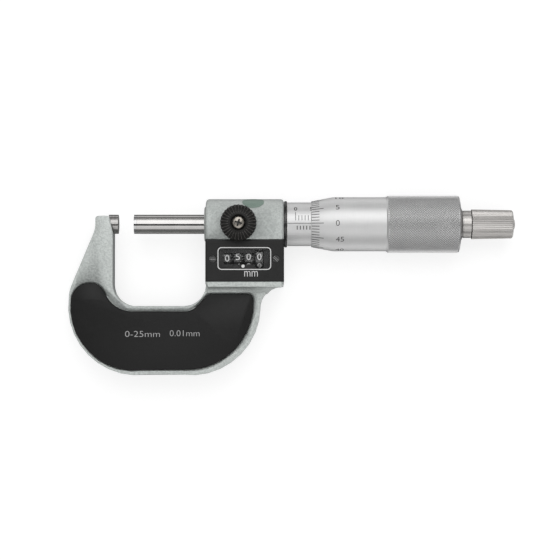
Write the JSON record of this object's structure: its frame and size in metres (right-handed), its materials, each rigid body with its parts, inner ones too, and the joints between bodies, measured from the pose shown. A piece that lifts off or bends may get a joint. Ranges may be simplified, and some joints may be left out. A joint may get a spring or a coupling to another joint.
{
  "type": "outside micrometer",
  "caption": "Outside micrometer with a C frame, grip plates, a mechanical digit counter in the head, a graduated thimble, a spindle lock and a ratchet stop.",
  "frame": {"origin": "centre of the anvil's measuring face", "axes": "+X along the spindle away from the anvil, +Y to the head's rounded top, +Z out of the front, where the window and lock knob are"},
  "size_m": [0.1411, 0.0569, 0.0216],
  "materials": {
    "enamel": "grey hammered enamel",
    "plate_plastic": "moulded black plastic",
    "cover_plastic": "black plastic cover",
    "knob_plastic": "serrated black plastic",
    "number_black": "black number wheel",
    "clear": "clear window",
    "ground_steel": "ground steel",
    "carbide": "lapped carbide",
    "satin_chrome": "satin chrome",
    "black_oxide": "blued steel",
    "nickel": "nickel plate",
    "brass": "plain brass"
  },
  "bodies": {
    "frame": {"frame": "enamel", "front_grip_plate": "plate_plastic", "rear_grip_plate": "plate_plastic", "anvil": "ground_steel", "anvil_tip": "carbide", "counter_cover": "cover_plastic", "window_lens": "clear", "cover_screw_left": "black_oxide", "cover_screw_right": "black_oxide", "sleeve_collar": "black_oxide", "inner_sleeve": "ground_steel", "outer_sleeve": "satin_chrome", "taper_nut": "ground_steel", "counter_bracket": "satin_chrome", "bracket_screw_left": "nickel", "bracket_screw_right": "nickel", "counter_shaft": "ground_steel", "idler_stud": "ground_steel", "transfer_shaft": "ground_steel", "lock_pad": "brass"},
    "drive": {"drive_gear": "brass", "drive_key": "ground_steel"},
    "spindle": {"spindle": "ground_steel", "spindle_tip": "carbide", "thimble": "satin_chrome", "ratchet_body": "satin_chrome", "ratchet_screw": "satin_chrome"},
    "ratchet": {"ratchet_knob": "satin_chrome", "click_ring": "ground_steel", "ratchet_spring": "ground_steel"},
    "lock": {"lock_knob": "knob_plastic", "lock_screw": "nickel", "lock_stem": "ground_steel"},
    "wheel_hundredths": {"wheel_hundredths": "number_black"},
    "wheel_tenths": {"wheel_tenths": "number_black"},
    "wheel_units": {"wheel_units": "number_black"},
    "wheel_tens": {"wheel_tens": "number_black"},
    "idler": {"idler_gear": "brass"},
    "transfer_1": {"transfer_pinion_1": "brass"},
    "transfer_2": {"transfer_pinion_2": "brass"},
    "transfer_3": {"transfer_pinion_3": "brass"}
  },
  "joints": [
    {"name": "thimble_turn", "type": "hinge", "parent": "frame", "child": "drive", "pos_m": [0.0485, 0, 0], "axis": [1, 0, 0], "range_deg": [-3600, 14400]},
    {"name": "spindle_feed", "type": "slide", "parent": "drive", "child": "spindle", "axis": [1, 0, 0], "range_m": [-0.005, 0.02]},
    {"name": "ratchet_turn", "type": "hinge", "parent": "spindle", "child": "ratchet", "pos_m": [0.119, 0, 0], "axis": [1, 0, 0], "continuous": true},
    {"name": "lock_turn", "type": "hinge", "parent": "frame", "child": "lock", "pos_m": [0.03836, 0, 0.0105], "axis": [0, 0, -1], "range_deg": [0, 60]},
    {"name": "hundredths_turn", "type": "hinge", "parent": "frame", "child": "wheel_hundredths", "pos_m": [0.0449, -0.01057, 0.0016], "axis": [1, 0, 0], "range_deg": [-18000, 72000]},
    {"name": "tenths_turn", "type": "hinge", "parent": "frame", "child": "wheel_tenths", "pos_m": [0.0415, -0.01057, 0.0016], "axis": [1, 0, 0], "range_deg": [-1800, 7200]},
    {"name": "units_turn", "type": "hinge", "parent": "frame", "child": "wheel_units", "pos_m": [0.0381, -0.01057, 0.0016], "axis": [1, 0, 0], "range_deg": [-180, 720]},
    {"name": "tens_turn", "type": "hinge", "parent": "frame", "child": "wheel_tens", "pos_m": [0.0347, -0.01057, 0.0016], "axis": [1, 0, 0], "range_deg": [-18, 72]},
    {"name": "idler_turn", "type": "hinge", "parent": "frame", "child": "idler", "pos_m": [0.0469, -0.00712, -0.00184], "axis": [1, 0, 0], "range_deg": [-36000, 9000]},
    {"name": "transfer_1_turn", "type": "hinge", "parent": "frame", "child": "transfer_1", "pos_m": [0.0364, -0.01337, -0.00325], "axis": [1, 0, 0], "range_deg": [-180, 45]},
    {"name": "transfer_2_turn", "type": "hinge", "parent": "frame", "child": "transfer_2", "pos_m": [0.0398, -0.01337, -0.00325], "axis": [1, 0, 0], "range_deg": [-1800, 450]},
    {"name": "transfer_3_turn", "type": "hinge", "parent": "frame", "child": "transfer_3", "pos_m": [0.0432, -0.01337, -0.00325], "axis": [1, 0, 0], "range_deg": [-18000, 4500]}
  ],
  "couplings": [
    {"joint": "spindle_feed", "follows": "thimble_turn", "m_per_rad": 0.000079577},
    {"joint": "hundredths_turn", "follows": "thimble_turn", "ratio": 5},
    {"joint": "tenths_turn", "follows": "thimble_turn", "ratio": 0.5},
    {"joint": "units_turn", "follows": "thimble_turn", "ratio": 0.05},
    {"joint": "tens_turn", "follows": "thimble_turn", "ratio": 0.005},
    {"joint": "idler_turn", "follows": "thimble_turn", "ratio": -2.5},
    {"joint": "transfer_1_turn", "follows": "thimble_turn", "ratio": -0.0125},
    {"joint": "transfer_2_turn", "follows": "thimble_turn", "ratio": -0.125},
    {"joint": "transfer_3_turn", "follows": "thimble_turn", "ratio": -1.25}
  ]
}
